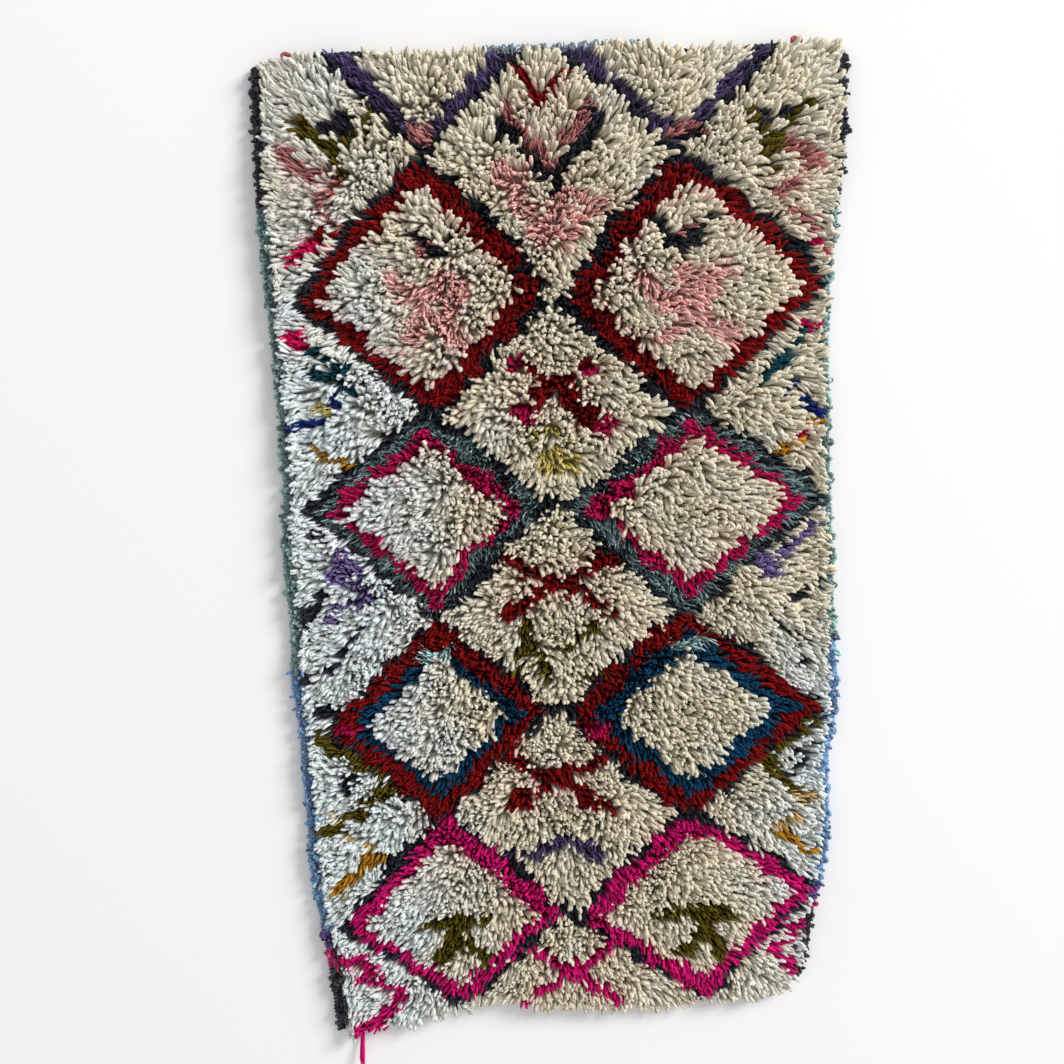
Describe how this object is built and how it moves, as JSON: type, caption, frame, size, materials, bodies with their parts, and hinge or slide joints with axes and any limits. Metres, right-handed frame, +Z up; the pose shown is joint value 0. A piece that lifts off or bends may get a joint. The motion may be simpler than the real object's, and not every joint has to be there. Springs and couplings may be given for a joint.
{
  "type": "shag rug",
  "caption": "Small hand-knotted shag rug lying flat, with a lozenge lattice in coloured wool on cream pile, overcast side edges and a corded end.",
  "frame": {"origin": "middle of the rug's box, on the surface that it lies on", "axes": "+Z up out of the pile, +Y along the rug to its corded end, +X to the right for someone who looks down on the pile"},
  "size_m": [0.8088, 1.4676, 0.0296],
  "materials": {
    "cream_wool": "thick hand-spun cream wool, soft sheen",
    "charcoal_wool": "soft matte wool",
    "red_wool": "soft matte wool",
    "magenta_wool": "soft matte wool",
    "grey_teal_wool": "frizzy matte wool",
    "petrol_wool": "soft matte wool",
    "turquoise_wool": "frizzy matte wool",
    "olive_wool": "soft matte wool",
    "violet_wool": "frizzy matte wool",
    "rose_wool": "frizzy matte wool",
    "yellow_wool": "soft matte wool",
    "mustard_wool": "soft matte wool",
    "navy_wool": "soft matte wool",
    "teal_wool": "soft matte wool",
    "blue_wool": "frizzy matte wool",
    "ground_weave": "plain weave of wool wefts on cotton warps"
  },
  "bodies": {
    "root": {"rug": "cream_wool", "selvedge_left": "grey_teal_wool", "selvedge_right": "grey_teal_wool", "heading_cord": "charcoal_wool", "knot_left": "rose_wool", "knot_right": "rose_wool"}
  },
  "joints": []
}
